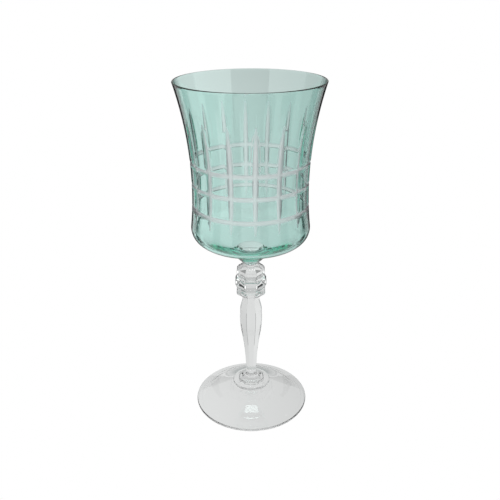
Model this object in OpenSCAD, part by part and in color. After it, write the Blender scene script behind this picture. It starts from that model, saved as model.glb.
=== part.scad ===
// Stemmed wine glass: a clear bowl cased in coloured glass and cut through it,
// on a panelled stem with three knops and a round, hollow foot.
// Millimetres. +Z is up, and the origin is the centre of the face the foot rests on.

/* [Bowl] */
// Outer diameter at the rim
rim_d = 85; // [76:1:102]
// Height of the bowl, from the stem to the rim
bowl_h = 109.8; // [90:0.1:132]
// Outer diameter at the waist, the narrowest part of the wall
waist_d = 68; // [62:0.5:74]
// Height of the waist above the stem
waist_up = 49.8; // [42:0.1:60]
// Radius of the rounded corner between the wall and the base
corner_r = 9.5; // [7:0.1:12]
// Height of the corner's centre above the stem
corner_up = 24.6; // [20:0.1:30]
// Slope of the base, from the corner down to the funnel, in degrees
base_slope = 26; // [20:1:32]
// Diameter at the top of the funnel under the base
funnel_d = 16.8; // [14:0.1:20]
// Slope of the funnel, in degrees
funnel_slope = 45; // [35:1:55]
// Slope of the floor inside the bowl, in degrees
floor_slope = 18; // [12:1:24]
// Radius of the dish in the middle of the floor
dish_r = 30; // [20:1:60]
// Thickness of the clear lining
lining_t = 1.1; // [0.9:0.05:1.6]
// Thickness of the coloured casing
casing_t = 0.5; // [0.35:0.05:0.8]

/* [Cut rings] */
// Heights of the cut rings above the stem
ring_up = [38.9, 52.3, 64.9]; // [30:0.1:80]
// Width of a cut ring
ring_w = 2.8; // [1.6:0.1:4]
// Depth of a cut ring, through the casing and into the lining
ring_depth = 0.8; // [0.6:0.05:1.1]

/* [Upright cuts] */
// Number of upright cuts around the bowl
upright_count = 16; // [8:1:20]
// Turn of the first upright cut from the X axis, in degrees
upright_turn = 4.5; // [0:0.5:22]
// Height of the lower tip of an upright cut above the stem
upright_foot_up = 31.8; // [26:0.1:40]
// Length of an upright cut
upright_l = 60; // [40:1:68]
// Width of an upright cut at its middle
upright_w = 3.4; // [2:0.1:4.4]
// Depth of an upright cut at its middle
upright_depth = 0.9; // [0.7:0.05:1.1]

/* [Stem] */
// Number of flat panels around the stem, an even number
panel_count = 8; // [6:2:12]
// Width across the panels where the upper knop meets the bowl
neck_d = 8.6; // [7:0.1:10]
// Height of the upper knop
upper_knop_h = 9.1; // [7:0.1:12]
// Width of the upper knop across its panels
upper_knop_d = 17.3; // [15:0.1:20]
// Height of the widest line of the upper knop above its bottom
upper_belly_up = 3.8; // [3:0.1:4.6]
// Radius of the upper knop's rounding below its widest line
upper_under_r = 3.2; // [1:0.1:4]
// Radius of the upper knop's rounding above its widest line
upper_over_r = 4.9; // [2:0.1:6]
// Width across the panels where the upper knop meets the ball knop
upper_waist_d = 13.2; // [10:0.1:14]
// Height of the ball knop
ball_knop_h = 8.7; // [7:0.1:12]
// Width of the ball knop across its panels
ball_knop_d = 19.4; // [17:0.1:23]
// Height of the widest line of the ball knop above its bottom
ball_belly_up = 5.8; // [4:0.1:6.4]
// Radius of the ball knop's rounding below its widest line
ball_under_r = 5.4; // [2:0.1:6]
// Radius of the ball knop's rounding above its widest line
ball_over_r = 2.6; // [1:0.1:4]
// Width across the panels where the ball knop meets the collar
lower_waist_d = 13; // [10:0.1:14]
// Height of the collar
collar_h = 6.1; // [5:0.1:8]
// Width of the collar across its panels
collar_d = 17.8; // [15.5:0.1:20]
// Height of the widest line of the collar above its bottom
collar_belly_up = 3.9; // [2.8:0.1:4.4]
// Radius of the collar's rounding below its widest line
collar_under_r = 2.9; // [1:0.1:4]
// Radius of the collar's rounding above its widest line
collar_over_r = 1.7; // [0.8:0.1:3]
// Width across the panels where the collar meets the baluster
throat_d = 9.2; // [7.5:0.1:11]
// Height of the baluster
baluster_h = 53.9; // [44:0.1:65]
// Width of the baluster at its widest, across its panels
baluster_d = 14; // [11.5:0.1:17]
// Height of the widest line of the baluster above its bottom
baluster_belly_up = 41.6; // [34:0.1:42]
// Share of the way from the widest line down that the outward curve takes
baluster_down_share = 0.31; // [0.2:0.01:0.6]
// Share of the way from the widest line up that the outward curve takes
baluster_up_share = 0.7; // [0.4:0.01:0.8]
// Width of the baluster at its bottom, across its panels
shank_d = 6.8; // [5.6:0.1:8.2]

/* [Foot] */
// Height of the merese, the stepped piece between the stem and the foot
merese_h = 9.5; // [8:0.1:12]
// Diameter of the round disc of the merese
merese_d = 24.4; // [20:0.1:29]
// Thickness of the round disc of the merese
merese_disc_t = 2; // [1.4:0.1:2.6]
// Width of the panelled step of the merese, across its panels
merese_step_d = 16; // [13:0.1:18]
// Height of the upright side of the panelled step
merese_step_t = 0.6; // [0.3:0.1:1.2]
// Share of the way from the step up to the stem that the outward curve takes
merese_share = 0.2; // [0.1:0.01:0.5]
// Outer diameter of the foot
foot_d = 73; // [61:1:88]
// Height of the foot, up to the merese
foot_h = 12.9; // [10.5:0.1:15.5]
// Thickness of the foot's rounded edge
foot_edge_t = 2; // [1.6:0.1:2.4]
// Radius of the hollow sweep of the foot's upper face
foot_sweep_r = 90; // [75:1:200]
// Width of the flat ring that the foot rests on
rest_w = 2.4; // [1.5:0.1:4]
// Thickness of the glass between the foot's hollow and the merese
foot_core_t = 4.4; // [3.6:0.1:6]

/* [Hidden] */
$fn = 96;

// Heights of the joints between the pieces, from the foot up
merese_z = foot_h;
baluster_z = merese_z + merese_h;
collar_z = baluster_z + baluster_h;
ball_knop_z = collar_z + collar_h;
upper_knop_z = ball_knop_z + ball_knop_h;
bowl_z = upper_knop_z + upper_knop_h;

// Bowl: the wall is an arc whose centre lies outside the glass, level with the waist
rim_r = rim_d / 2;
waist_r = waist_d / 2;
rim_up = bowl_h - waist_up;
flare = rim_r - waist_r;
wall_t = casing_t + lining_t;
rim_round = wall_t / 2;
flare_r = (flare * flare + pow(rim_up - rim_round, 2)) / (2 * flare) - rim_round;
flare_x = waist_r + flare_r;
rim_lean = asin((rim_up - rim_round) / (flare_r + rim_round));
corner_drop = waist_up - corner_up;
corner_x = flare_x - sqrt(pow(flare_r + corner_r, 2) - corner_drop * corner_drop);

// Upright cuts: a wheel that leaves the wall's arc at both tips of the cut
wheel_tip_r = (upright_w * upright_w / 4 + upright_depth * upright_depth) / (2 * upright_depth);
upright_low = asin((waist_up - upright_foot_up) / flare_r);
upright_high = asin((upright_foot_up + upright_l - waist_up) / flare_r);
upright_mid = (upright_high - upright_low) / 2;
upright_half = (upright_high + upright_low) / 2;
upright_sag = flare_r * (1 - cos(upright_half)) + upright_depth;
wheel_r = (pow(flare_r * sin(upright_half), 2) + upright_sag * upright_sag) / (2 * upright_sag);
wheel_set = flare_r + upright_depth - wheel_r;

// Foot: the hollow is part of a sphere that ends at the flat ring
foot_r = foot_d / 2;
edge_r = foot_edge_t / 2;
hollow_r = foot_r - edge_r - rest_w;
hollow_h = foot_h - foot_core_t;
hollow_sphere_r = (hollow_r * hollow_r + hollow_h * hollow_h) / (2 * hollow_h);

// Margin by which a cutting shape passes the face that it cuts
pass = 1;

// Where two lines cross: one through p at angle a, one through q at angle b
function crossing(p, a, q, b) =
    let (d = q - p, s = (d.x * sin(b) - d.y * cos(b)) / sin(b - a))
    p + s * [cos(a), sin(a)];

// Centre of an arc of radius r through p and q, on the left of the way from p to q
function arc_centre(p, q, r) =
    let (m = (p + q) / 2, d = q - p, l = norm(d), h = sqrt(r * r - l * l / 4))
    m + h * [-d.y, d.x] / l;

// Outer radius of the bowl's wall at a height above the stem
function wall_r(up) = flare_x - sqrt(flare_r * flare_r - pow(up - waist_up, 2));

// Half outline of everything inside a surface that lies t under the bowl's outside
module bowl_fill(t) {
    r = corner_r - t;
    lean = asin(corner_drop / (flare_r + corner_r));
    corner = [corner_x, corner_up];
    wall_end = corner + r * [cos(lean), sin(lean)];
    base_start = corner + r * [sin(base_slope), -cos(base_slope)];
    neck = [neck_d / 2 - t / sin(funnel_slope), 0];
    funnel_top = [funnel_d / 2, (funnel_d - neck_d) / 2 * tan(funnel_slope)];
    base_end = crossing(base_start, base_slope, neck, funnel_slope);
    polygon([[0, 0], neck, base_end, base_start, corner, wall_end, [0, wall_end.y]]);
    translate(corner)
        circle(r);
    difference() {
        translate([0, wall_end.y])
            square([rim_r, bowl_h - wall_end.y]);
        translate([flare_x, waist_up])
            circle(flare_r + t, $fn = 720);
    }
}

// Half outline of the space inside the bowl
module cavity() {
    r = corner_r - wall_t;
    lean = asin(corner_drop / (flare_r + corner_r));
    corner = [corner_x, corner_up];
    wall_end = corner + r * [cos(lean), sin(lean)];
    floor_start = corner + r * [sin(floor_slope), -cos(floor_slope)];
    dish_edge = dish_r * sin(floor_slope);
    dish_up = floor_start.y - (floor_start.x - dish_edge) * tan(floor_slope);
    dish_end = [dish_edge, dish_up];
    polygon([[0, dish_up], dish_end, floor_start, corner, wall_end, [0, wall_end.y]]);
    translate(corner)
        circle(r);
    intersection() {
        translate([0, dish_up + dish_r * cos(floor_slope)])
            circle(dish_r, $fn = 360);
        square([dish_edge, dish_up]);
    }
    difference() {
        translate([0, wall_end.y])
            square([rim_r, bowl_h + pass - wall_end.y]);
        translate([flare_x, waist_up])
            circle(flare_r + wall_t, $fn = 720);
    }
}

// Half section of the whole wall, with its rim melted round
module wall_section() {
    intersection() {
        difference() {
            bowl_fill(0);
            cavity();
        }
        translate([rim_r - rim_round, bowl_h - rim_round]) {
            circle(rim_round);
            rotate(-rim_lean)
                translate([-bowl_h, -2 * bowl_h])
                    square(2 * bowl_h);
        }
    }
}

// Sections of the cut rings, round-bottomed grooves in the wall
module ring_sections() {
    r = (ring_w * ring_w / 4 + ring_depth * ring_depth) / (2 * ring_depth);
    for (up = ring_up)
        translate([wall_r(up) - ring_depth + r, up])
            circle(r);
}

// Tracks of the cutting wheel, one for each upright cut
module upright_cuts() {
    for (i = [0:upright_count - 1])
        rotate([0, 0, upright_turn + i * 360 / upright_count])
            translate([flare_x - wheel_set * cos(upright_mid), 0,
                       waist_up + wheel_set * sin(upright_mid)])
                rotate([90, 0, 0])
                    rotate_extrude($fn = 360)
                        translate([wheel_r - wheel_tip_r, 0])
                            circle(wheel_tip_r, $fn = 32);
}

// Clear inner glass of the bowl, with the solid core of the funnel
module bowl_lining() {
    color([0.93, 0.96, 0.95, 0.5])
        translate([0, 0, bowl_z])
            difference() {
                rotate_extrude()
                    difference() {
                        intersection() {
                            wall_section();
                            bowl_fill(casing_t);
                        }
                        ring_sections();
                    }
                upright_cuts();
            }
}

// Coloured outer glass of the bowl, which the cuts open down to the lining
module bowl_casing() {
    color([0.62, 0.85, 0.78, 0.6])
        translate([0, 0, bowl_z])
            difference() {
                rotate_extrude()
                    difference() {
                        wall_section();
                        bowl_fill(casing_t);
                        ring_sections();
                    }
                upright_cuts();
            }
}

// A solid with flat panels all round, each following the half outline given
module panelled() {
    rotate([0, 0, 180 / panel_count])
        rotate_extrude($fn = panel_count)
            scale([1 / cos(180 / panel_count), 1])
                children();
}

// Half outline from a belly to an end above it or below it: rounded, then straight
module turned_in(belly_r, belly_up, end_r, end_up, round_r) {
    tall = abs(end_up - belly_up);
    r = min(round_r, tall);
    centre = [belly_r - r, belly_up];
    end = [end_r, end_up];
    way = end - centre;
    turn = atan2(way.y, way.x) - sign(way.y) * acos(r / norm(way));
    tangent = centre + r * [cos(turn), sin(turn)];
    polygon([[0, belly_up], centre, tangent, end, [0, end_up]]);
    intersection() {
        translate(centre)
            circle(r, $fn = 180);
        translate([0, min(belly_up, end_up)])
            square([belly_r + pass, tall]);
    }
}

// Half outline that runs from a wide end to a narrow end in two arcs that meet smoothly
module s_curve(wide_r, wide_up, narrow_r, narrow_up, wide_share) {
    tall = abs(narrow_up - wide_up);
    way = sign(narrow_up - wide_up);
    turn = 2 * atan((wide_r - narrow_r) / tall);
    wide_arc_r = tall / sin(turn) * wide_share;
    narrow_arc_r = tall / sin(turn) - wide_arc_r;
    join_up = wide_up + way * wide_arc_r * sin(turn);
    intersection() {
        translate([0, min(wide_up, join_up)])
            square([wide_r + pass, abs(join_up - wide_up)]);
        union() {
            translate([wide_r - wide_arc_r, wide_up])
                circle(wide_arc_r, $fn = 360);
            if (wide_arc_r < wide_r)
                translate([0, min(wide_up, join_up)])
                    square([wide_r - wide_arc_r, abs(join_up - wide_up)]);
        }
    }
    difference() {
        translate([0, min(narrow_up, join_up)])
            square([wide_r, abs(join_up - narrow_up)]);
        translate([narrow_r + narrow_arc_r, narrow_up])
            circle(narrow_arc_r, $fn = 360);
    }
}

// One knop: a belly that turns in to the piece below it and the piece above it
module knop(belly_d, belly_up, height, low_d, under_r, high_d, over_r) {
    panelled() {
        turned_in(belly_d / 2, belly_up, low_d / 2, 0, under_r);
        turned_in(belly_d / 2, belly_up, high_d / 2, height, over_r);
    }
}

// Domed knop under the bowl
module upper_knop() {
    color([0.9, 0.93, 0.93, 0.6])
        translate([0, 0, upper_knop_z])
            knop(upper_knop_d, upper_belly_up, upper_knop_h,
                 upper_waist_d, upper_under_r, neck_d, upper_over_r);
}

// Ball-shaped knop, the widest part of the stem
module ball_knop() {
    color([0.86, 0.9, 0.9, 0.6])
        translate([0, 0, ball_knop_z])
            knop(ball_knop_d, ball_belly_up, ball_knop_h,
                 lower_waist_d, ball_under_r, upper_waist_d, ball_over_r);
}

// Collar under the ball knop
module collar() {
    color([0.9, 0.93, 0.93, 0.6])
        translate([0, 0, collar_z])
            knop(collar_d, collar_belly_up, collar_h,
                 throat_d, collar_under_r, lower_waist_d, collar_over_r);
}

// Tall panelled baluster, the main part of the stem
module baluster() {
    belly_r = baluster_d / 2;
    color([0.86, 0.9, 0.9, 0.6])
        translate([0, 0, baluster_z])
            panelled() {
                s_curve(belly_r, baluster_belly_up, shank_d / 2, 0, baluster_down_share);
                s_curve(belly_r, baluster_belly_up, throat_d / 2, baluster_h, baluster_up_share);
            }
}

// Stepped piece that joins the stem to the foot: a panelled step on a round disc
module merese() {
    disc_r = merese_d / 2;
    round_r = merese_disc_t / 2;
    step_up = merese_disc_t + merese_step_t;
    color([0.9, 0.93, 0.93, 0.6])
        translate([0, 0, merese_z]) {
            rotate_extrude() {
                square([disc_r - round_r, merese_disc_t]);
                translate([disc_r - round_r, round_r])
                    circle(round_r);
            }
            panelled() {
                translate([0, round_r])
                    square([merese_step_d / 2, step_up - round_r]);
                s_curve(merese_step_d / 2, step_up, shank_d / 2, merese_h, merese_share);
            }
        }
}

// Round foot: a swept upper face, a rounded edge and a hollow underneath
module foot() {
    edge_top = [foot_r - edge_r, foot_edge_t];
    seat_edge = [merese_d / 2, foot_h];
    color([0.88, 0.92, 0.91, 0.6])
        rotate_extrude()
            difference() {
                union() {
                    difference() {
                        polygon([[0, 0], [edge_top.x, 0], edge_top, seat_edge, [0, foot_h]]);
                        translate(arc_centre(seat_edge, edge_top, foot_sweep_r))
                            circle(foot_sweep_r, $fn = 720);
                    }
                    translate([foot_r - edge_r, edge_r])
                        circle(edge_r);
                }
                translate([0, hollow_h - hollow_sphere_r])
                    circle(hollow_sphere_r, $fn = 720);
            }
}

bowl_lining();
bowl_casing();
upper_knop();
ball_knop();
collar();
baluster();
merese();
foot();
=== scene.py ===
"""Stemmed wine glass: a flared bowl cased in mint glass and cut through to clear, on a panelled stem."""

import math

import bmesh
import bpy
from mathutils import Matrix, Vector


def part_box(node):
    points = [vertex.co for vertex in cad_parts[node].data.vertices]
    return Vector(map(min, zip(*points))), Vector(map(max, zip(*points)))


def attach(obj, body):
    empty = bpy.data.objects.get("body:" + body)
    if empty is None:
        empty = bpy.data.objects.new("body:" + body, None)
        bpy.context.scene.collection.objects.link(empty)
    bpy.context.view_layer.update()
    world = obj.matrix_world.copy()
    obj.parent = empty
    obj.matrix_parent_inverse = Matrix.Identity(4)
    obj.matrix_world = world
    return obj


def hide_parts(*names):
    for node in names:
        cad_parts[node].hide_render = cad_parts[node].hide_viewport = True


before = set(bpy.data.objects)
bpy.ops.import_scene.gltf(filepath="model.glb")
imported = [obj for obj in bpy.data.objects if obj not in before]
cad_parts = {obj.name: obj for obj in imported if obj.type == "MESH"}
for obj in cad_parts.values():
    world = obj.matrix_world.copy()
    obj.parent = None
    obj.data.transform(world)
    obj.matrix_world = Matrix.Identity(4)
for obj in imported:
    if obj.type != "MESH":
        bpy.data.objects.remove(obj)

bl_info = {
    "name": "Cut Wine Glass",
    "version": (1, 0, 0),
    "blender": (4, 5, 0),
    "location": "View3D > Sidebar > Glass",
    "description": "Builds a stemmed wine glass with a cased and cut bowl around its CAD frame",
    "category": "Add Mesh",
}

MM = 0.001
# creases sharper than this stay sharp in the shading
SMOOTH_TO = math.radians(34)
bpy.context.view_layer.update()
RIM_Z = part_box("bowl_lining")[1].z
BOWL_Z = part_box("bowl_lining")[0].z
RIM_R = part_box("bowl_casing")[1].x
FOOT_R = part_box("foot")[1].x


# ---------------------------------------------------------------- settings


def length(name, text, default, top=0.3):
    """A size in metres that a user may change."""
    return bpy.props.FloatProperty(
        name=name, description=text, default=default, min=0.0, max=top, precision=5,
        subtype="DISTANCE", unit="LENGTH",
    )


def fraction(name, text, default):
    """A share from 0 to 1 that a user may change."""
    return bpy.props.FloatProperty(
        name=name, description=text, default=default, min=0.0, max=1.0, subtype="FACTOR",
    )


def number(name, text, default):
    """A plain number that a user may change."""
    return bpy.props.FloatProperty(name=name, description=text, default=default, precision=4)


def angle(name, text, degrees):
    """An angle that a user may change."""
    return bpy.props.FloatProperty(
        name=name, description=text, default=math.radians(degrees), subtype="ANGLE",
        unit="ROTATION",
    )


def colour(name, text, default):
    """A colour that a user may change."""
    return bpy.props.FloatVectorProperty(
        name=name, description=text, default=default, subtype="COLOR", min=0.0, max=1.0,
    )


class BowlSettings(bpy.types.PropertyGroup):
    """Sizes of the bowl, its casing and its cuts."""

    waist_r: length("Waist radius", "Outer radius where the wall is narrowest", 34 * MM)
    waist_up: length("Waist height", "Height of the waist above the stem", 49.8 * MM)
    corner_r: length("Corner radius", "Radius of the corner between wall and base", 9.5 * MM)
    corner_up: length("Corner height", "Height of the corner's centre above the stem", 24.6 * MM)
    neck_r: length("Neck radius", "Outer radius where the bowl meets the stem", 4.3 * MM)
    funnel_round: length("Funnel rounding", "Radius between the funnel and the base", 1.2 * MM)
    wall: length("Wall", "Thickness of the whole wall", 1.6 * MM)
    rim_wall: length("Rim wall", "Thickness of the wall at the rim", 1.0 * MM)
    casing: length("Casing", "Thickness of the mint casing", 0.35 * MM)
    casing_at_neck: length("Casing at the neck", "Thickness it thins out to", 0.05 * MM)
    skin: length("Skin", "Casing that is left under a cut", 0.02 * MM)
    gap: length("Gap", "Space between the casing and the lining", 0.02 * MM)
    boss_r: length("Boss radius", "Radius of the low boss in the floor", 8.4 * MM)
    boss_step: length("Boss step", "Height of the step round the boss", 0.75 * MM)
    ring_width: length("Ring width", "Width of a cut ring", 2.8 * MM)
    ring_depth: length("Ring depth", "Depth of a cut ring", 0.5 * MM)
    ring_low: length("Low ring", "Height of the lowest cut ring above the stem", 38.9 * MM)
    ring_middle: length("Middle ring", "Height of the middle cut ring above the stem", 52.3 * MM)
    ring_high: length("High ring", "Height of the highest cut ring above the stem", 64.9 * MM)
    upright_low: length("Upright foot", "Height of an upright cut's lower tip", 31.8 * MM)
    upright_high: length("Upright head", "Height of an upright cut's upper tip", 91.8 * MM)
    upright_width: length("Upright width", "Width of an upright cut at its middle", 3.4 * MM)
    upright_depth: length("Upright depth", "Depth of an upright cut at its middle", 0.6 * MM)
    base_slope: angle("Base slope", "Slope of the base", 26)
    floor_slope: angle("Floor slope", "Slope of the floor inside", 18)
    upright_turn: angle("Upright turn", "Turn of the first upright cut from the X axis", 4.5)
    upright_count: bpy.props.IntProperty(
        name="Upright cuts", description="Number of upright cuts around the bowl", default=16,
        min=4, max=24,
    )


class StemSettings(bpy.types.PropertyGroup):
    """Sizes of the stem and the foot that the frame's boxes don't give."""

    panels: bpy.props.IntProperty(
        name="Panels", description="Number of flat panels around the stem", default=8,
        min=6, max=12,
    )
    edge: length("Panel edge", "Radius of the soft edge between two panels", 0.9 * MM)
    neck_r: length("Neck", "Half width where the upper knop meets the bowl", 4.3 * MM)
    upper_waist_r: length("Upper crease", "Half width between the two upper knops", 6.6 * MM)
    lower_waist_r: length("Lower crease", "Half width between ball knop and collar", 6.5 * MM)
    throat_r: length("Throat", "Half width between the collar and the baluster", 5.2 * MM)
    throat_h: length("Throat height", "Height of the neck under the collar", 2.8 * MM)
    shank_r: length("Shank", "Half width of the stem above the merese", 3.4 * MM)
    belly_up: length("Baluster belly", "Height of the baluster's widest line", 41.6 * MM)
    disc_t: length("Disc", "Thickness of the merese's disc", 2.0 * MM)
    step_r: length("Step width", "Half width of the merese's step", 8.0 * MM)
    step_up: length("Step height", "Height of the merese's step above its disc", 0.6 * MM)
    step_soft: length("Step softness", "Rounding at the bottom of the merese's step", 0.25 * MM)
    seat_in: length("Seat", "How far the merese's edge stands out past its seat", 1.0 * MM)
    foot_t: length("Foot edge", "Thickness of the foot's rounded edge", 2.0 * MM)
    hollow_r: length("Hollow radius", "Radius of the hollow under the foot", 33.1 * MM)
    hollow_up: length("Hollow height", "Height of the hollow under the foot", 8.5 * MM)
    sweep_r: length("Foot sweep", "Radius of the foot's sweep to its edge", 90.0 * MM)


class FinishSettings(bpy.types.PropertyGroup):
    """Colours and surface qualities of the glass, with the shade and glow painted into it."""

    clear: colour("Clear glass", "Tint of the clear glass", (0.97, 0.985, 0.98))
    mint: colour("Mint glass", "What the mint glass lets through", (0.605, 0.945, 0.885))
    mint_density: number("Mint density", "How fast the mint glass darkens, per metre", 1430.0)
    # painted shade: the glass's base colour darkens to these where it is seen edge on, standing in for the
    # dark outline of its edges
    edge: colour("Edge", "Tint where the glass is seen edge on", (0.12, 0.16, 0.155))
    mint_edge_shade: colour("Mint edge", "Tint where the casing is seen edge on", (0.05, 0.07, 0.068))
    edge_start: fraction("Edge start", "Grazing share where the clear glass starts to darken", 0.7)
    mint_edge_start: fraction("Mint edge start", "Grazing share where the casing starts to darken", 0.67)
    edge_run: fraction("Edge run", "Grazing share over which the glass darkens", 0.12)
    ripple: length("Ripple", "Height of the ripple of the clear glass", 0.01 * MM)
    mint_ripple: length("Mint ripple", "Height of the ripple of the casing", 0.04 * MM)
    ripple_scale: number("Ripple scale", "Ripples in a metre, across the glass", 55.0)
    frost: fraction("Frost", "Roughness of the cuts", 0.45)
    # painted light: the cuts glow with this themselves, standing in for the light that frosted glass
    # scatters towards the eye
    painted_cut_glow: colour("Cut glow", "Light that the frosted cuts scatter towards the eye", (0.075, 0.06, 0.07))


class StageSettings(bpy.types.PropertyGroup):
    """The floor, the light and the camera."""

    camera_back: length("Camera distance", "Distance of the camera in front", 0.347, 5)
    camera_up: length("Camera height", "Height of the camera", 0.2636, 5)
    lens: number("Lens", "Focal length in millimetres on a 36 mm sensor", 44.92)
    pitch: angle("Pitch", "How far the camera looks down", 24.14)
    roll: angle("Roll", "How far the camera leans to its right", 0.28)
    shift_x: number("Shift across", "Sideways shift of the picture", -0.0014)
    shift_y: number("Shift up", "Upward shift of the picture", 0.0014)
    room: fraction("Room light", "Brightness of the room around the glass", 0.55)


# ---------------------------------------------------------------- node building


class Wiring:
    """Adds nodes to a tree and joins them up."""

    def __init__(self, tree):
        self.tree = tree

    def feed(self, socket, value):
        """Joins value to a socket if it is an output, or else sets the socket to it."""
        if isinstance(value, bpy.types.NodeSocket):
            self.tree.links.new(value, socket)
        elif value is not None:
            socket.default_value = value

    def add(self, kind, *values, **settings):
        """A node with these settings, its open inputs fed in order with the values."""
        node = self.tree.nodes.new(kind)
        for key, value in settings.items():
            setattr(node, key, value)
        open_inputs = [s for s in node.inputs if s.enabled]
        for socket, value in zip(open_inputs, values):
            self.feed(socket, value)
        return node

    def out(self, kind, *values, **settings):
        """The first output of such a node."""
        node = self.add(kind, *values, **settings)
        return next(s for s in node.outputs if s.enabled)

    def math(self, operation, *values):
        """The result of a Math node."""
        return self.out("ShaderNodeMath", *values, operation=operation)

    def plus(self, a, b):
        """a + b."""
        return self.math("ADD", a, b)

    def minus(self, a, b):
        """a - b."""
        return self.math("SUBTRACT", a, b)

    def times(self, a, b):
        """a * b."""
        return self.math("MULTIPLY", a, b)

    def over(self, a, b):
        """a / b."""
        return self.math("DIVIDE", a, b)


def declare(tree, sockets, in_out):
    """Named sockets on a tree's face: (name, type, default)."""
    for name, kind, default in sockets:
        socket = tree.interface.new_socket(name, in_out=in_out, socket_type=kind)
        if default is not None:
            socket.default_value = default


def geometry_tree(name, inputs):
    """An empty Geometry Nodes tree with these inputs, and its wiring."""
    tree = bpy.data.node_groups.new(name, "GeometryNodeTree")
    declare(tree, [("Geometry", "NodeSocketGeometry", None)] + inputs, "INPUT")
    declare(tree, [("Geometry", "NodeSocketGeometry", None)], "OUTPUT")
    return tree, Wiring(tree)


def outline_grid(w, outline, columns):
    """A grid with a row for each point of the outline, and each vertex's row and column."""
    rows = w.out("GeometryNodeAttributeDomainSize", outline, component="MESH")
    across = w.plus(columns, 1.0)
    grid = w.out("GeometryNodeMeshGrid", 1.0, 1.0, across, rows)
    index = w.out("GeometryNodeInputIndex")
    row = w.math("FLOORED_MODULO", index, rows)
    column = w.math("FLOOR", w.over(w.plus(index, 0.5), rows))
    return grid, row, column


def named(w, name):
    """A named attribute of the geometry."""
    return w.out("GeometryNodeInputNamedAttribute", name, data_type="FLOAT")


def sector_place(w, column, columns):
    """A column's sector, its way across it from -1 to 1, that way's size, and its size past a half."""
    step = w.math("FLOORED_MODULO", column, columns)
    sector = w.math("FLOOR", w.over(w.plus(column, 0.5), columns))
    way = w.minus(w.times(w.over(step, columns), 2.0), 1.0)
    size = w.math("ABSOLUTE", way)
    past = w.minus(w.times(size, 2.0), 1.0)
    return sector, way, size, past


def on_row(w, outline, row, name):
    """The value of a named attribute of the outline at a row."""
    return w.out("GeometryNodeSampleIndex", outline, named(w, name), row, data_type="FLOAT")


def row_place(w, outline, row):
    """Radius and height of a row."""
    place = w.out("GeometryNodeInputPosition")
    here = w.out("GeometryNodeSampleIndex", outline, place, row, data_type="FLOAT_VECTOR")
    parts = w.add("ShaderNodeSeparateXYZ", here)
    return parts.outputs[0], parts.outputs[2]


def wrap_round(w, grid, radius, angle, height):
    """The grid laid round the axis and closed at its seam and poles."""
    x, y = (w.times(radius, w.math(wave, angle)) for wave in ("COSINE", "SINE"))
    place = w.out("ShaderNodeCombineXYZ", x, y, height)
    moved = w.out("GeometryNodeSetPosition", grid, True, place)
    return w.out("GeometryNodeMergeByDistance", moved, True, 1e-6)


def stored(w, geometry, name, value, domain="POINT"):
    """The geometry with a value stored under a name."""
    return w.out(
        "GeometryNodeStoreNamedAttribute", geometry, True, name, value,
        data_type="FLOAT", domain=domain,
    )


def face_mask(w, geometry, name, value, limit):
    """Stores a value at the points, and 1 on the faces where the mean of its corners passes a limit."""
    carried = stored(w, geometry, name + "_point", value)
    return stored(w, carried, name, w.math("GREATER_THAN", named(w, name + "_point"), limit), "FACE")


def fused_marks(w, grid, outline, row):
    """The grid with its hidden faces marked, before merging its points can blur the marks."""
    return face_mask(w, grid, "fused", on_row(w, outline, row, "fused"), 0.99)


def finish_tree(w, geometry, material):
    """Realize Instances, Set Material and the tree's output."""
    real = w.out("GeometryNodeRealizeInstances", geometry)
    done = w.out("GeometryNodeSetMaterial", real, True, material)
    w.add("NodeGroupOutput", done)


def panelled_tree():
    """Turns a half outline into a solid with flat panels and soft edges all round."""
    tree, w = geometry_tree(
        "panelled lathe",
        [
            ("Panels", "NodeSocketInt", 8),
            ("Columns in a Panel", "NodeSocketInt", 12),
            ("Edge Radius", "NodeSocketFloat", 0.001),
            ("Material", "NodeSocketMaterial", None),
        ],
    )
    source = w.add("NodeGroupInput")
    outline, panels, per_panel, edge, material = list(source.outputs)[:5]
    columns = w.times(panels, per_panel)
    grid, row, column = outline_grid(w, outline, columns)
    apothem, height = row_place(w, outline, row)
    panelled = on_row(w, outline, row, "panelled")
    half = w.over(math.pi, panels)
    panel, way, size, past = sector_place(w, column, per_panel)
    # on a thin stem the soft edges shrink with the half width, by this share of it at most
    most_of_half = 0.4
    soft = w.math("MINIMUM", edge, w.times(apothem, most_of_half))
    inner = w.minus(apothem, soft)
    flat_end = w.math("ARCTAN2", w.times(inner, w.math("TANGENT", half)), apothem)
    on_flat = w.times(size, w.times(flat_end, 2.0))
    on_edge = w.plus(flat_end, w.times(past, w.minus(half, flat_end)))
    in_edge = w.math("GREATER_THAN", size, 0.5)
    turn = w.out("GeometryNodeSwitch", in_edge, on_flat, on_edge, input_type="FLOAT")
    flat_r = w.over(apothem, w.math("COSINE", turn))
    middle = w.over(inner, w.math("COSINE", half))
    from_edge = w.minus(half, turn)
    reach = w.times(middle, w.math("SINE", from_edge))
    square = w.minus(w.times(soft, soft), w.times(reach, reach))
    rise = w.math("SQRT", w.math("MAXIMUM", square, 0.0))
    edge_r = w.plus(w.times(middle, w.math("COSINE", from_edge)), rise)
    panel_r = w.out("GeometryNodeSwitch", in_edge, flat_r, edge_r, input_type="FLOAT")
    radius = w.out("ShaderNodeMix", panelled, apothem, panel_r, data_type="FLOAT")
    even = w.times(size, half)
    turn = w.out("ShaderNodeMix", panelled, even, turn, data_type="FLOAT")
    middle_turn = w.times(panel, w.times(half, 2.0))
    angle = w.plus(middle_turn, w.times(w.math("SIGN", way), turn))
    marked = fused_marks(w, grid, outline, row)
    finish_tree(w, wrap_round(w, marked, radius, angle, height), material)
    return tree


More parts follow.
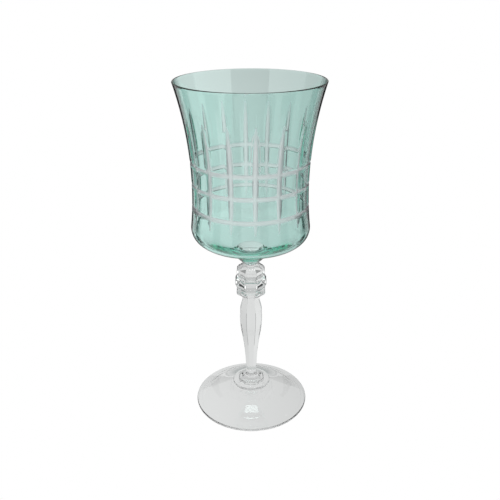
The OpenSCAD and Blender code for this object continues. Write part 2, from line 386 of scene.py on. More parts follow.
def cut_tree():
    """Turns a half outline into a bowl, and sinks the ring cuts and the upright cuts into it."""
    tree, w = geometry_tree(
        "cut bowl",
        [
            ("Upright Count", "NodeSocketInt", 16),
            ("Columns in a Sector", "NodeSocketInt", 16),
            ("Upright Turn", "NodeSocketFloat", 0.08),
            ("Upright Foot", "NodeSocketFloat", 0.132),
            ("Upright Head", "NodeSocketFloat", 0.192),
            ("Upright Width", "NodeSocketFloat", 0.0034),
            ("Upright Depth", "NodeSocketFloat", 0.0009),
            ("Low Ring", "NodeSocketFloat", 0.139),
            ("Middle Ring", "NodeSocketFloat", 0.152),
            ("High Ring", "NodeSocketFloat", 0.165),
            ("Ring Width", "NodeSocketFloat", 0.0028),
            ("Ring Depth", "NodeSocketFloat", 0.0008),
            ("Material", "NodeSocketMaterial", None),
        ],
    )
    source = w.add("NodeGroupInput")
    pins = {s.name: s for s in source.outputs}
    outline = pins["Geometry"]
    count, per_sector = pins["Upright Count"], pins["Columns in a Sector"]
    columns = w.times(count, per_sector)
    grid, row, column = outline_grid(w, outline, columns)
    radius, height = row_place(w, outline, row)
    cover = on_row(w, outline, row, "cover")

    def groove_r(width, depth):
        """Radius of a groove's round bottom from its width and depth."""
        half_width = w.times(width, 0.5)
        square = w.plus(w.times(half_width, half_width), w.times(depth, depth))
        return w.over(square, w.times(depth, 2.0))

    def groove(bottom_r, depth, away):
        """Depth of a groove at a distance from its middle line."""
        square = w.minus(w.times(bottom_r, bottom_r), w.times(away, away))
        rise = w.math("SQRT", w.math("MAXIMUM", square, 0.0))
        return w.minus(rise, w.minus(bottom_r, depth))

    # the wheel's depth along an upright cut, and the half width that it opens there
    middle = w.times(w.plus(pins["Upright Foot"], pins["Upright Head"]), 0.5)
    half_long = w.minus(pins["Upright Head"], middle)
    off = w.over(w.minus(height, middle), half_long)
    share = w.math("MAXIMUM", w.minus(1.0, w.times(off, off)), 0.0)
    wheel_depth = w.times(pins["Upright Depth"], share)
    wheel_r = groove_r(pins["Upright Width"], pins["Upright Depth"])
    open_square = w.times(wheel_depth, w.minus(w.times(wheel_r, 2.0), wheel_depth))
    half_open = w.math("SQRT", w.math("MAXIMUM", open_square, 0.0))
    # columns close up inside the cut, so that its edges run along the mesh's own lines
    least_share, most_share = 0.06, 0.4
    sector = w.over(2 * math.pi, count)
    safe_r = w.math("MAXIMUM", radius, 1e-5)
    most = w.times(sector, most_share)
    edge = w.math("MINIMUM", w.over(half_open, safe_r), most)
    edge = w.math("MAXIMUM", edge, w.times(sector, least_share))
    number, way, size, past = sector_place(w, column, per_sector)
    inside = w.times(w.times(size, 2.0), edge)
    room = w.minus(w.times(sector, 0.5), edge)
    outside = w.plus(edge, w.times(past, room))
    beyond = w.math("GREATER_THAN", size, 0.5001)
    turn = w.out("GeometryNodeSwitch", beyond, inside, outside, input_type="FLOAT")
    from_first = w.plus(pins["Upright Turn"], w.times(w.math("SIGN", way), turn))
    angle = w.plus(w.times(number, sector), from_first)
    depth = groove(wheel_r, wheel_depth, w.times(turn, radius))
    ring_r = groove_r(pins["Ring Width"], pins["Ring Depth"])
    for ring in ("Low Ring", "Middle Ring", "High Ring"):
        away = w.minus(height, pins[ring])
        depth = w.math("MAXIMUM", depth, groove(ring_r, pins["Ring Depth"], away))
    sunk = w.math("MAXIMUM", w.minus(depth, cover), 0.0)
    marked = face_mask(w, fused_marks(w, grid, outline, row), "cut", sunk, 1e-6)
    solid = wrap_round(w, marked, w.minus(radius, sunk), angle, height)
    finish_tree(w, solid, pins["Material"])
    return tree


# ---------------------------------------------------------------- outlines


def spaced(start, end, count):
    """count + 1 even steps from start to end."""
    return [start + (end - start) * i / count for i in range(count + 1)]


def arc(centre, radius, start, end, count):
    """Points of an arc round centre, between two angles in radians."""
    return [
        (centre[0] + radius * math.cos(a), centre[1] + radius * math.sin(a))
        for a in spaced(start, end, count)
    ]


def arc_between(centre, radius, start, end, count):
    """Points of the shorter arc round centre from one point to another."""
    a = math.atan2(start[1] - centre[1], start[0] - centre[0])
    b = math.atan2(end[1] - centre[1], end[0] - centre[0])
    if b - a > math.pi:
        b -= 2 * math.pi
    if a - b > math.pi:
        b += 2 * math.pi
    return arc(centre, radius, a, b, count)


def along(start, end, shares):
    """Points of a straight line, at these shares of its length."""
    return [(start[0] + (end[0] - start[0]) * t, start[1] + (end[1] - start[1]) * t) for t in shares]


def row(point, panelled=0.0, fused=0.0, cover=1.0):
    """One row of an outline: radius, height and what the trees read there."""
    return (*point, panelled, fused, cover)


def rounded(start, corner, end, radius, count):
    """A corner between two straight lines, rounded to a radius."""
    def unit(a, b):
        size = math.dist(a, b)
        return ((b[0] - a[0]) / size, (b[1] - a[1]) / size)

    back, on = unit(corner, start), unit(corner, end)
    half = math.acos(back[0] * on[0] + back[1] * on[1]) / 2
    run = radius / math.tan(half)
    middle = (back[0] + on[0], back[1] + on[1])
    size = math.hypot(*middle)
    far = radius / math.sin(half)
    centre = (corner[0] + middle[0] / size * far, corner[1] + middle[1] / size * far)
    first = (corner[0] + back[0] * run, corner[1] + back[1] * run)
    last = (corner[0] + on[0] * run, corner[1] + on[1] * run)
    return arc_between(centre, radius, first, last, count)


def turned_in(belly, end, radius, count):
    """From a belly to an end above or below it: rounded, then straight."""
    centre = (belly[0] - radius, belly[1])
    reach = (end[0] - centre[0], end[1] - centre[1])
    side = 1 if reach[1] > 0 else -1
    turn = math.atan2(reach[1], reach[0]) - side * math.acos(radius / math.hypot(*reach))
    points = arc(centre, radius, 0, turn, count)
    return points + along(points[-1], end, (0.33, 0.67, 1.0))


def s_curve(wide, narrow, share, count):
    """From a wide place to a narrow one in two arcs that meet smoothly."""
    tall = abs(narrow[1] - wide[1])
    way = 1 if narrow[1] > wide[1] else -1
    turn = 2 * math.atan((wide[0] - narrow[0]) / tall)
    wide_arc = tall / math.sin(turn) * share
    narrow_arc = tall / math.sin(turn) - wide_arc
    first = [
        (wide[0] - wide_arc + wide_arc * math.cos(a), wide[1] + way * wide_arc * math.sin(a))
        for a in spaced(0, turn, count)
    ]
    second = [
        (
            narrow[0] + narrow_arc - narrow_arc * math.cos(a),
            narrow[1] - way * narrow_arc * math.sin(a),
        )
        for a in spaced(turn, 0, count)
    ]
    return first + second[1:]


def panelled_rows(side):
    """Rows of a panelled solid whose side runs upwards, closed by a fused face at each end."""
    low, high = side[0], side[-1]
    rows = [row((0.0, low[1]), 1.0, 1.0), row(low, 1.0, 1.0)]
    rows += [row(point, 1.0) for point in side]
    return rows + [row(high, 1.0, 1.0), row((0.0, high[1]), 1.0, 1.0)]


class BowlShape:
    """The bowl's section at any depth under its outer surface."""

    def __init__(self, s):
        self.s = s
        flare = RIM_R - s.waist_r
        half_wall = s.rim_wall / 2
        rise = RIM_Z - BOWL_Z - s.waist_up - half_wall
        self.flare_r = (flare**2 + rise**2) / (2 * flare) - half_wall
        self.flare_x = s.waist_r + self.flare_r
        self.waist_z = BOWL_Z + s.waist_up
        self.corner_z = BOWL_Z + s.corner_up
        drop = s.waist_up - s.corner_up
        self.lean = math.asin(drop / (self.flare_r + s.corner_r))
        self.corner_x = self.flare_x - math.sqrt((self.flare_r + s.corner_r) ** 2 - drop**2)
        self.rim_turn = math.asin(rise / (self.flare_r + half_wall))

    def wall(self, z, depth):
        """A point of the wall at a height on its outer surface, at a depth under it."""
        turn = math.asin((z - self.waist_z) / self.flare_r)
        reach = self.flare_r + depth
        return (self.flare_x - reach * math.cos(turn), self.waist_z + reach * math.sin(turn))

    def inner(self, z):
        """Thickness of the wall at a height, thinner above the waist."""
        rise = self.flare_r * math.sin(self.rim_turn)
        up = max(0.0, (z - self.waist_z) / rise)
        return self.s.wall + (self.s.rim_wall - self.s.wall) * up

    def wall_heights(self):
        """Heights of the wall's rows, with a row on each edge of each cut."""
        s = self.s
        in_ring, in_upright, plain_low, plain_high = 0.28 * MM, 0.9 * MM, 1.2 * MM, 1.5 * MM
        start = self.waist_z - self.flare_r * math.sin(self.lean)
        end = self.waist_z + self.flare_r * math.sin(self.rim_turn)
        breaks = [(start, plain_low), (BOWL_Z + s.upright_low, in_upright)]
        for up in (s.ring_low, s.ring_middle, s.ring_high):
            breaks.append((BOWL_Z + up - s.ring_width / 2, in_ring))
            breaks.append((BOWL_Z + up + s.ring_width / 2, in_upright))
        breaks.append((BOWL_Z + s.upright_high, plain_high))
        heights = []
        for (low, gap), (high, _) in zip(breaks, breaks[1:] + [(end, 0)]):
            heights += spaced(low, high, max(1, round((high - low) / gap)))[:-1]
        return heights + [end]

    def base(self, depth):
        """From the neck up the funnel and the base to the end of the corner."""
        s = self.s
        r = s.corner_r - depth
        slope = s.base_slope
        start = (self.corner_x + r * math.sin(slope), self.corner_z - r * math.cos(slope))
        neck = (s.neck_r - depth / math.sin(math.pi / 4), BOWL_Z)
        run = start[0] - neck[0]
        rise = start[1] - neck[1]
        # where the funnel's line at 45 degrees meets the base's line
        t = (rise - run * math.tan(slope)) / (1 - math.tan(slope))
        cross = (neck[0] + t, neck[1] + t)
        bend = rounded(neck, cross, start, s.funnel_round + depth, 8)
        corner = arc((self.corner_x, self.corner_z), r, slope - math.pi / 2, self.lean, 18)
        straight = along(bend[-1], start, (0.2, 0.4, 0.6, 0.8))
        return along(neck, bend[0], (0.0, 0.5)) + bend + straight + corner[:-1]

    def seam(self, gap):
        """The base under the casing, which thins out over the last rows down the funnel."""
        thin_rows = 10
        thin = self.s.casing_at_neck / self.s.casing
        points = []
        for number, (out, under) in enumerate(zip(self.base(0.0), self.base(self.s.casing))):
            share = min(1.0, thin + (1.0 - thin) * number / thin_rows) + gap / self.s.casing
            points += along(out, under, [share])
        return points

    def rim(self, start, end, count):
        """The round rim, from one angle to another, 0 being its outer side."""
        r = self.s.rim_wall / 2
        middle = self.wall(self.waist_z + self.flare_r * math.sin(self.rim_turn), r)
        out = (math.cos(self.rim_turn), -math.sin(self.rim_turn))
        up = (math.sin(self.rim_turn), math.cos(self.rim_turn))
        return [
            (
                middle[0] + r * (math.cos(a) * out[0] + math.sin(a) * up[0]),
                middle[1] + r * (math.cos(a) * out[1] + math.sin(a) * up[1]),
            )
            for a in spaced(start, end, count)
        ]

    def seam_turn(self, depth):
        """Angle on the rim where a surface at a depth under the outside comes out."""
        half = self.s.rim_wall / 2
        return math.acos((half - depth) / half)

    def floor(self):
        """From the end of the inner corner down the floor and over its boss to the axis."""
        s = self.s
        r = s.corner_r - s.wall
        slope = s.floor_slope
        corner = arc((self.corner_x, self.corner_z), r, self.lean, slope - math.pi / 2, 18)
        start = corner[-1]
        edge = s.boss_r
        edge_z = start[1] - (start[0] - edge) * math.tan(slope)
        straight = along(start, (edge, edge_z), (0.2, 0.4, 0.6, 0.8))
        # the step's profile, in shares of its height: how far in and how far up
        profile = ((0.0, 0.0), (0.2, 0.1), (0.4, 0.35), (0.6, 0.7), (0.85, 0.93), (1.2, 1.0))
        step = [(edge - s.boss_step * into, edge_z + s.boss_step * up) for into, up in profile]
        top = step[-1]
        boss = [(top[0] * t, top[1] + s.boss_step * (1 - t * t) / 2) for t in spaced(0.85, 0.0, 6)]
        return corner[1:] + straight + step + boss


# ---------------------------------------------------------------- pieces


def identifier(tree, name):
    """The key of a tree's input on a modifier."""
    return next(s.identifier for s in tree.interface.items_tree
                if s.in_out == "INPUT" and s.name == name)


def turned_piece(name, rows, tree, inputs):
    """A piece made by a tree from an outline's rows, as a plain closed mesh."""
    mesh = bpy.data.meshes.new(name + "_outline")
    mesh.from_pydata([(r[0], 0.0, r[1]) for r in rows], [], [])
    for number, key in enumerate(("panelled", "fused", "cover")):
        attribute = mesh.attributes.new(key, "FLOAT", "POINT")
        attribute.data.foreach_set("value", [float(r[number + 2]) for r in rows])
    piece = bpy.data.objects.new(name, mesh)
    bpy.context.scene.collection.objects.link(piece)
    modifier = piece.modifiers.new("shape", "NODES")
    modifier.node_group = tree
    for key, value in inputs.items():
        modifier[identifier(tree, key)] = value
    graph = bpy.context.evaluated_depsgraph_get()
    shaped = bpy.data.meshes.new_from_object(
        piece.evaluated_get(graph), preserve_all_data_layers=True, depsgraph=graph
    )
    piece.modifiers.remove(modifier)
    piece.data = shaped
    bpy.data.meshes.remove(mesh)
    shaped.name = name
    face_out(shaped)
    shaped.shade_smooth()
    shaped.set_sharp_from_angle(angle=SMOOTH_TO)
    return piece


def face_out(mesh):
    """Makes a closed mesh's faces point outwards."""
    work = bmesh.new()
    work.from_mesh(mesh)
    bmesh.ops.dissolve_degenerate(work, edges=work.edges, dist=1e-7)
    bmesh.ops.recalc_face_normals(work, faces=work.faces)
    work.to_mesh(mesh)
    work.free()


def place(piece, node, slot):
    """Hands a finished piece to the frame in place of a CAD node."""
    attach(piece, "root")
    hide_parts(node)


def kept(name, make):
    """The node tree or material of this name, made once."""
    found = bpy.data.node_groups.get(name) or bpy.data.materials.get(name)
    return found or make()


def stem_piece(name, node, rows, columns=12):
    """A clear piece of the stem or foot, with this many columns in each eighth."""
    stem = bpy.context.scene.glass_stem
    inputs = {
        "Panels": stem.panels,
        "Columns in a Panel": columns,
        "Edge Radius": stem.edge,
        "Material": kept("clear glass", clear_material),
    }
    tree = kept("panelled lathe", panelled_tree)
    piece = turned_piece(name, rows, tree, inputs)
    place(piece, node, "clear_glass")


def bowl_piece(name, node, rows, slot, material):
    """A piece of the bowl, with the cuts sunk into its rows as far as their cover lets them."""
    s = bpy.context.scene.glass_bowl
    inputs = {
        "Upright Count": s.upright_count,
        "Columns in a Sector": 16,
        "Upright Turn": s.upright_turn,
        "Upright Foot": BOWL_Z + s.upright_low,
        "Upright Head": BOWL_Z + s.upright_high,
        "Upright Width": s.upright_width,
        "Upright Depth": s.upright_depth,
        "Low Ring": BOWL_Z + s.ring_low,
        "Middle Ring": BOWL_Z + s.ring_middle,
        "High Ring": BOWL_Z + s.ring_high,
        "Ring Width": s.ring_width,
        "Ring Depth": s.ring_depth,
        "Material": material,
    }
    tree = kept("cut bowl", cut_tree)
    piece = turned_piece(name, rows, tree, inputs)
    place(piece, node, slot)


# ---------------------------------------------------------------- materials


def ripple_group():
    """The slow ripple of melted glass: a height for a Bump node."""
    tree = bpy.data.node_groups.new("melt ripple", "ShaderNodeTree")
    declare(tree, [("Scale", "NodeSocketFloat", 60.0), ("Stretch", "NodeSocketFloat", 1.0)], "INPUT")
    declare(tree, [("Height", "NodeSocketFloat", None)], "OUTPUT")
    w = Wiring(tree)
    source = w.add("NodeGroupInput")
    place = w.add("ShaderNodeTexCoord").outputs["Object"]
    squeeze = w.out("ShaderNodeCombineXYZ", 1.0, 1.0, source.outputs["Stretch"])
    stretched = w.out("ShaderNodeVectorMath", place, squeeze, operation="MULTIPLY")
    noise = w.add("ShaderNodeTexNoise", stretched, source.outputs["Scale"])
    noise.inputs["Detail"].default_value = 1.5
    w.add("NodeGroupOutput", noise.outputs[0])
    return tree


def glass_material(name, tint, edge, edge_start, ripple, stretch):
    """Polished glass, frosted where it is cut and unseen where it is fused to its neighbour, with painted
    shade where it is seen edge on and a painted glow in its cuts.
    """
    s = bpy.context.scene.glass_finish
    material = bpy.data.materials.new(name)
    material.use_nodes = True
    w = Wiring(material.node_tree)
    shader = material.node_tree.nodes["Principled BSDF"]
    # painted shade: the base colour darkens towards the edge colour where the glass is seen edge on
    grazing = w.add("ShaderNodeLayerWeight", 0.5).outputs["Facing"]
    edge_end = edge_start + s.edge_run
    painted_edge_shade = w.out("ShaderNodeMapRange", grazing, edge_start, edge_end, 0.0, 1.0)
    base = w.out("ShaderNodeMix", painted_edge_shade, (*tint, 1.0), (*edge, 1.0), data_type="RGBA")
    w.feed(shader.inputs["Base Color"], base)
    shader.inputs["IOR"].default_value = 1.5
    shader.inputs["Transmission Weight"].default_value = 1.0
    cut = w.add("ShaderNodeAttribute", attribute_name="cut").outputs["Fac"]
    fused = w.add("ShaderNodeAttribute", attribute_name="fused").outputs["Fac"]
    w.feed(shader.inputs["Roughness"], w.times(cut, s.frost))
    w.feed(shader.inputs["Alpha"], w.minus(1.0, fused))
    black = (0.0, 0.0, 0.0, 1.0)
    # painted light: the cuts glow faintly of their own, standing in for light scattered by the frost
    painted_glow = w.out("ShaderNodeMix", cut, black, (*s.painted_cut_glow, 1.0), data_type="RGBA")
    w.feed(shader.inputs["Emission Color"], painted_glow)
    shader.inputs["Emission Strength"].default_value = 1.0
    group = kept("melt ripple", ripple_group)
    node = w.add("ShaderNodeGroup", node_tree=group)
    node.inputs["Scale"].default_value = s.ripple_scale
    node.inputs["Stretch"].default_value = stretch
    bump = w.add("ShaderNodeBump")
    bump.inputs["Strength"].default_value = 1.0
    bump.inputs["Distance"].default_value = ripple
    w.feed(bump.inputs["Height"], node.outputs[0])
    w.feed(shader.inputs["Normal"], bump.outputs[0])
    return material


def clear_material():
    """Clear glass of the lining, the stem and the foot."""
    s = bpy.context.scene.glass_finish
    return glass_material(
        "clear glass", tint=s.clear, edge=s.edge, edge_start=s.edge_start, ripple=s.ripple,
        stretch=0.6,
    )


def mint_material():
    """Mint glass of the casing, darker the further light runs through it."""
    s = bpy.context.scene.glass_finish
    material = glass_material(
        "mint glass", tint=(1.0, 1.0, 1.0), edge=s.mint_edge_shade, edge_start=s.mint_edge_start,
        ripple=s.mint_ripple, stretch=0.35,
    )
    tree = material.node_tree
    inside = tree.nodes.new("ShaderNodeVolumeAbsorption")
    inside.inputs["Color"].default_value = (*s.mint, 1.0)
    inside.inputs["Density"].default_value = s.mint_density
    tree.links.new(inside.outputs[0], tree.nodes["Material Output"].inputs["Volume"])
    return material


def light_material(name, strength):
    """A plain glowing surface."""
    material = bpy.data.materials.new(name)
    material.use_nodes = True
    tree = material.node_tree
    tree.nodes.clear()
    w = Wiring(tree)
    glow = w.out("ShaderNodeEmission", (1.0, 1.0, 1.0, 1.0), strength)
    w.add("ShaderNodeOutputMaterial", glow)
    return material


# Dark strips of the floor that only the glass shows. Each is laid out four times round the foot, with
# its mirror image: its middle from an axis, half width and softness in degrees, the radii where it
# begins and ends, its softness there in metres, and its darkness.
FLOOR_STRIPS = (
    (25.0, 7.5, 1.0, 0.32, 20.0, 0.04, 1.0),
    (36.0, 3.4, 0.8, 0.145, 0.305, 0.005, 1.0),
    (32.0, 7.0, 1.0, 0.18, 0.32, 0.0005, 1.0),
    (15.5, 5.5, 1.0, 0.1, 0.14, 0.005, 0.6),
)
STRIP_LEVEL = 0.03


def floor_strip(w, off, far, middle, half, soft, near_end, far_end, fade, darkness):
    """How dark one of the floor's strips is, from the angle and distance of a point."""
    aside = w.math("ABSOLUTE", w.minus(off, middle))
    across = w.out("ShaderNodeMapRange", aside, half, half + soft, darkness, 0.0)
    reach = (far_end - near_end) / 2
    away = w.math("ABSOLUTE", w.minus(far, near_end + reach))
    return w.times(across, w.out("ShaderNodeMapRange", away, reach, reach + fade, 1.0, 0.0))


def floor_material():
    """A floor that is pure white where it is seen directly, and greyer through the glass."""
    material = light_material("pale floor", 1.0)
    tree = material.node_tree
    w = Wiring(tree)
    direct = w.add("ShaderNodeLightPath").outputs["Is Camera Ray"]
    place = w.add("ShaderNodeSeparateXYZ", w.add("ShaderNodeTexCoord").outputs["Object"])
    x, y = place.outputs[0], place.outputs[1]
    far = w.math("SQRT", w.plus(w.times(x, x), w.times(y, y)))
    off = w.math("DEGREES", w.math("PINGPONG", w.math("ARCTAN2", y, x), math.radians(45)))
    dark = 0.0
    for strip in FLOOR_STRIPS:
        dark = w.math("MAXIMUM", dark, floor_strip(w, off, far, *strip))
    pale = w.minus(1.0, dark)
    # greyer with distance and, far off, from left to right
    grey = w.out("ShaderNodeMapRange", far, 0.3, 1.4, 0.73, 0.65)
    across = w.over(x, w.math("MAXIMUM", far, 0.4))
    slant = w.out("ShaderNodeMapRange", across, -0.13, 0.17, 1.1, 0.86)
    grey = w.times(grey, slant)
    indirect = w.out("ShaderNodeMix", pale, STRIP_LEVEL, grey, data_type="FLOAT")
    level = w.out("ShaderNodeMix", direct, indirect, 1.0, data_type="FLOAT")
    w.feed(tree.nodes["Emission"].inputs["Strength"], level)
    return material


# ---------------------------------------------------------------- operators


def around(turn, far):
    """The x and y of a place round the glass, from its turn in degrees."""
    return (far * math.cos(math.radians(turn)), far * math.sin(math.radians(turn)))


# Cards of light and shade that only the glass shows: name, centre, what it faces, width, height and
# brightness.
CARDS = (
    ("softbox_overhead", (0, 0.04, 0.85), (0, -0.1, -1), 0.17, 0.08, 5.0),
    ("side_light_left", (-0.834, -0.337, 0.6), (0.834, 0.337, 0), 1.26, 1.1, 1.1),
    ("side_light_right", (0.834, -0.337, 0.6), (-0.834, 0.337, 0), 1.26, 1.1, 1.3),
    ("flag_front", (0, -1.0, 0.7), (0, 1, 0), 1.25, 1.1, 0.02),
    ("flag_back_right", (*around(67.5, 0.6), 0.275), (*around(67.5, -1.0), 0), 0.12, 0.55, 0.02),
    ("flag_back_left", (*around(112.5, 0.6), 0.275), (*around(112.5, -1.0), 0), 0.12, 0.55, 0.02),
    ("flag_overhead", (0, 0.045, 0.4), (0, 0, -1), 0.2, 0.045, 0.02),
)


class GLASS_OT_stage(bpy.types.Operator):
    """Adds the floor, the soft light and the camera"""

    bl_idname = "glass.stage"
    bl_label = "Stage"

    def execute(self, context):
        s = context.scene.glass_stage
        camera = bpy.data.objects.new("camera", bpy.data.cameras.new("camera"))
        context.scene.collection.objects.link(camera)
        camera.location = (0.0, -s.camera_back, s.camera_up)
        tilt = Matrix.Rotation(math.pi / 2 - s.pitch, 4, "X")
        camera.rotation_euler = (tilt @ Matrix.Rotation(-s.roll, 4, "Z")).to_euler()
        camera.data.lens = s.lens
        camera.data.sensor_width = 36.0
        camera.data.shift_x = s.shift_x
        camera.data.shift_y = s.shift_y
        camera.data.clip_start = 0.01
        context.scene.camera = camera
        context.scene.view_settings.view_transform = "Standard"
        world = bpy.data.worlds.new("studio")
        world.use_nodes = True
        room = world.node_tree.nodes["Background"]
        room.inputs["Color"].default_value = (1, 1, 1, 1)
        w = Wiring(world.node_tree)
        direct = w.add("ShaderNodeLightPath").outputs["Is Camera Ray"]
        level = w.out("ShaderNodeMix", direct, s.room, 1.0, data_type="FLOAT")
        w.feed(room.inputs["Strength"], level)
        context.scene.world = world
        cycles = context.scene.cycles
        cycles.max_bounces = 24
        cycles.transmission_bounces = 24
        cycles.glossy_bounces = 12
        cycles.transparent_max_bounces = 48
        card("floor", (0, 0, -0.0002), (0, 0, 1), 24.0, 24.0, floor_material(), True)
        for name, centre, facing, wide, tall, strength in CARDS:
            glow = light_material(name.replace("_", " "), strength)
            card(name, centre, facing, wide, tall, glow, False)
        return {"FINISHED"}


def card(name, centre, facing, wide, tall, material, seen):
    """A flat card of the stage, facing a direction."""
    mesh = bpy.data.meshes.new(name)
    normal = Vector(facing).normalized()
    turn = normal.to_track_quat("Z", "Y")
    corners = [
        turn @ Vector((x * wide / 2, y * tall / 2, 0)) + Vector(centre)
        for x, y in ((-1, -1), (1, -1), (1, 1), (-1, 1))
    ]
    mesh.from_pydata(corners, [], [(0, 1, 2, 3)])
    mesh.materials.append(material)
    thing = bpy.data.objects.new(name, mesh)
    bpy.context.scene.collection.objects.link(thing)
    thing.visible_camera = seen
    thing.visible_diffuse = seen
    thing.visible_shadow = seen


class GLASS_OT_bowl_casing(bpy.types.Operator):
    """Builds the mint casing of the bowl"""

    bl_idname = "glass.bowl_casing"
    bl_label = "Bowl casing"

    def execute(self, context):
        s = context.scene.glass_bowl
        shape = BowlShape(s)
        heights = shape.wall_heights()
        under = s.casing - s.skin
        outside = [row(p, cover=1.0) for p in shape.base(0.0)]
        outside += [row(shape.wall(z, 0.0), cover=0.0) for z in heights]
        outside += [row(p) for p in shape.rim(0.0, shape.seam_turn(s.casing), 5)[1:]]
        inside = [row(shape.wall(z, s.casing), fused=1.0, cover=under) for z in reversed(heights)]
        inside += [row(p, fused=1.0) for p in reversed(shape.seam(0.0))]
        top = [row(outside[-1][:2], fused=1.0)]
        rows = outside + top + inside + [row(outside[0][:2], fused=1.0)]
        bowl_piece("casing_glass", "bowl_casing", rows, "mint_glass",
                   kept("mint glass", mint_material))
        return {"FINISHED"}


class GLASS_OT_bowl_lining(bpy.types.Operator):
    """Builds the clear lining of the bowl, with the core of its funnel"""

    bl_idname = "glass.bowl_lining"
    bl_label = "Bowl lining"

    def execute(self, context):
        s = context.scene.glass_bowl
        shape = BowlShape(s)
        heights = shape.wall_heights()
        depth = s.casing + s.gap
        under = s.casing - s.skin
        base = shape.seam(s.gap)
        rows = [row((0.0, BOWL_Z), fused=1.0)]
        rows += [row(p, fused=1.0) for p in base]
        rows += [row(shape.wall(z, depth), fused=1.0, cover=under) for z in heights]
        rim = shape.rim(shape.seam_turn(depth), math.pi, 9)
        rows += [row(rim[0], fused=1.0)] + [row(p) for p in rim]
        rows += [row(shape.wall(z, shape.inner(z))) for z in reversed(heights[:-1])]
        rows += [row(p) for p in shape.floor()]
        bowl_piece("lining_glass", "bowl_lining", rows, "clear_glass",
                   kept("clear glass", clear_material))
        return {"FINISHED"}


class GLASS_OT_knops(bpy.types.Operator):
    """Builds the upper knop, the ball knop and the collar"""

    bl_idname = "glass.knops"
    bl_label = "Knops and collar"

    def execute(self, context):
        s = context.scene.glass_stem
        # node, half widths below and above, belly's height as a share, roundings, height of a neck
        knops = [
            ("upper_knop", s.upper_waist_r, s.neck_r, 0.42, 3.3 * MM, 2.8 * MM, 0.0),
            ("ball_knop", s.lower_waist_r, s.upper_waist_r, 0.68, 5.4 * MM, 2.6 * MM, 0.0),
            ("collar", s.throat_r, s.lower_waist_r, 0.76, 1.5 * MM, 1.2 * MM, s.throat_h),
        ]
        for node, low_r, high_r, belly_share, under_r, over_r, neck in knops:
            low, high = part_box(node)
            belly = (high.x, low.z + (high.z - low.z) * belly_share)
            under = turned_in(belly, (low_r, low.z + neck), under_r, 9)
            if neck:
                under += [(low_r, low.z + neck * 0.5), (low_r, low.z)]
            over = turned_in(belly, (high_r, high.z), over_r, 9)
            side = list(reversed(under)) + over[1:]
            stem_piece(node + "_glass", node, panelled_rows(side))
        return {"FINISHED"}


class GLASS_OT_baluster(bpy.types.Operator):
    """Builds the tall panelled baluster"""

    bl_idname = "glass.baluster"
    bl_label = "Baluster"

    def execute(self, context):
        s = context.scene.glass_stem
        low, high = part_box("baluster")
        belly = (high.x, low.z + s.belly_up)
        down = s_curve(belly, (s.shank_r, low.z), 0.31, 16)
        up = s_curve(belly, (s.throat_r, high.z), 0.7, 10)
        rows = panelled_rows(list(reversed(down)) + up[1:])
        stem_piece("baluster_glass", "baluster", rows)
        return {"FINISHED"}


class GLASS_OT_merese(bpy.types.Operator):
    """Builds the stepped piece between the stem and the foot"""

    bl_idname = "glass.merese"
    bl_label = "Merese"

    def execute(self, context):
        s = context.scene.glass_stem
        low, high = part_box("merese")
        half_t = s.disc_t / 2
        disc_top = low.z + s.disc_t
        step_top = (s.step_r, disc_top + s.step_up)
        centre = (high.x - half_t, low.z + half_t)
        edge = arc(centre, half_t, -math.pi / 2, math.pi / 2, 10)
        rise = s_curve(step_top, (s.shank_r, high.z), 0.2, 10)
        rows = [row((0.0, low.z), fused=1.0), row(edge[0], fused=1.0)]
        rows += [row(p) for p in edge]
        # the round disc turns into the panelled step over two rows
        rows += [row((s.step_r + s.step_soft, disc_top + s.step_soft / 5), 0.8)]
        rows += [row((s.step_r, disc_top + s.step_up / 2), 1.0)]
        rows += [row(p, 1.0) for p in rise]
        rows += [row(rise[-1], 1.0, fused=1.0), row((0.0, high.z), 1.0, fused=1.0)]
        stem_piece("merese_glass", "merese", rows, columns=16)
        return {"FINISHED"}


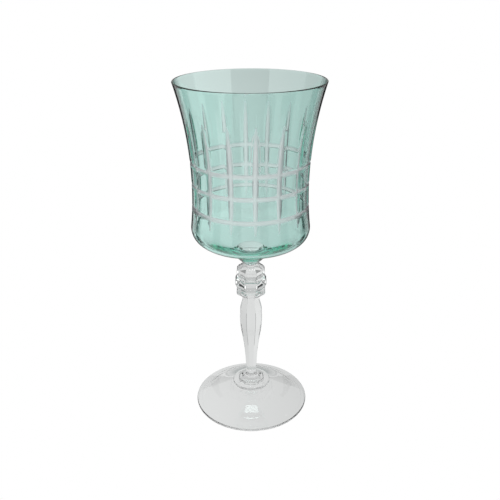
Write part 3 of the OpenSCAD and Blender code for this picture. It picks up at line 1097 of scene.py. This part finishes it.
class GLASS_OT_foot(bpy.types.Operator):
    """Builds the round, hollow foot"""

    bl_idname = "glass.foot"
    bl_label = "Foot"

    def execute(self, context):
        s = context.scene.glass_stem
        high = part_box("foot")[1].z
        seat_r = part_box("merese")[1].x
        fused_r = seat_r - s.seat_in
        half_t = s.foot_t / 2
        sphere_r = (s.hollow_r**2 + s.hollow_up**2) / (2 * s.hollow_up)
        sphere = (0.0, s.hollow_up - sphere_r)
        opening = math.asin(s.hollow_r / sphere_r)
        under = arc(sphere, sphere_r, math.pi / 2, math.pi / 2 - opening, 24)
        edge = arc((FOOT_R - half_t, half_t), half_t, -math.pi / 2, math.pi / 2, 12)
        start, end = edge[-1], (seat_r, high)
        middle = ((start[0] + end[0]) / 2, (start[1] + end[1]) / 2)
        run = math.dist(start, end)
        off = math.sqrt(s.sweep_r**2 - run**2 / 4)
        way = ((end[0] - start[0]) / run, (end[1] - start[1]) / run)
        centre = (middle[0] + off * way[1], middle[1] - off * way[0])
        sweep = arc_between(centre, s.sweep_r, start, end, 24)
        rows = [row(p) for p in under] + [row(p) for p in edge] + [row(p) for p in sweep[1:]]
        rows += [row((fused_r, high)), row((fused_r, high), fused=1.0)]
        rows += [row((0.0, high), fused=1.0)]
        stem_piece("foot_glass", "foot", rows, columns=16)
        return {"FINISHED"}


PIECES = (
    GLASS_OT_stage, GLASS_OT_bowl_casing, GLASS_OT_bowl_lining, GLASS_OT_knops,
    GLASS_OT_baluster, GLASS_OT_merese, GLASS_OT_foot,
)


class GLASS_PT_panel(bpy.types.Panel):
    """Lists the pieces of the glass"""

    bl_idname = "GLASS_PT_panel"
    bl_label = "Cut Wine Glass"
    bl_space_type = "VIEW_3D"
    bl_region_type = "UI"
    bl_category = "Glass"

    def draw(self, context):
        for piece in PIECES:
            self.layout.operator(piece.bl_idname)
        for group in SETTINGS:
            settings = getattr(context.scene, group)
            for key in settings.__annotations__:
                self.layout.prop(settings, key)


SETTINGS = {
    "glass_bowl": BowlSettings,
    "glass_stem": StemSettings,
    "glass_finish": FinishSettings,
    "glass_stage": StageSettings,
}


def register():
    """Adds the classes and their settings to Blender."""
    for kind in (*SETTINGS.values(), *PIECES, GLASS_PT_panel):
        bpy.utils.register_class(kind)
    for name, kind in SETTINGS.items():
        setattr(bpy.types.Scene, name, bpy.props.PointerProperty(type=kind))


def unregister():
    """Takes them out again."""
    for name in SETTINGS:
        delattr(bpy.types.Scene, name)
    for kind in (GLASS_PT_panel, *reversed(PIECES), *reversed(SETTINGS.values())):
        bpy.utils.unregister_class(kind)


def main():
    """Builds every piece."""
    register()
    for piece in PIECES:
        category, name = piece.bl_idname.split(".")
        getattr(getattr(bpy.ops, category), name)()


if __name__ == "__main__":
    main()
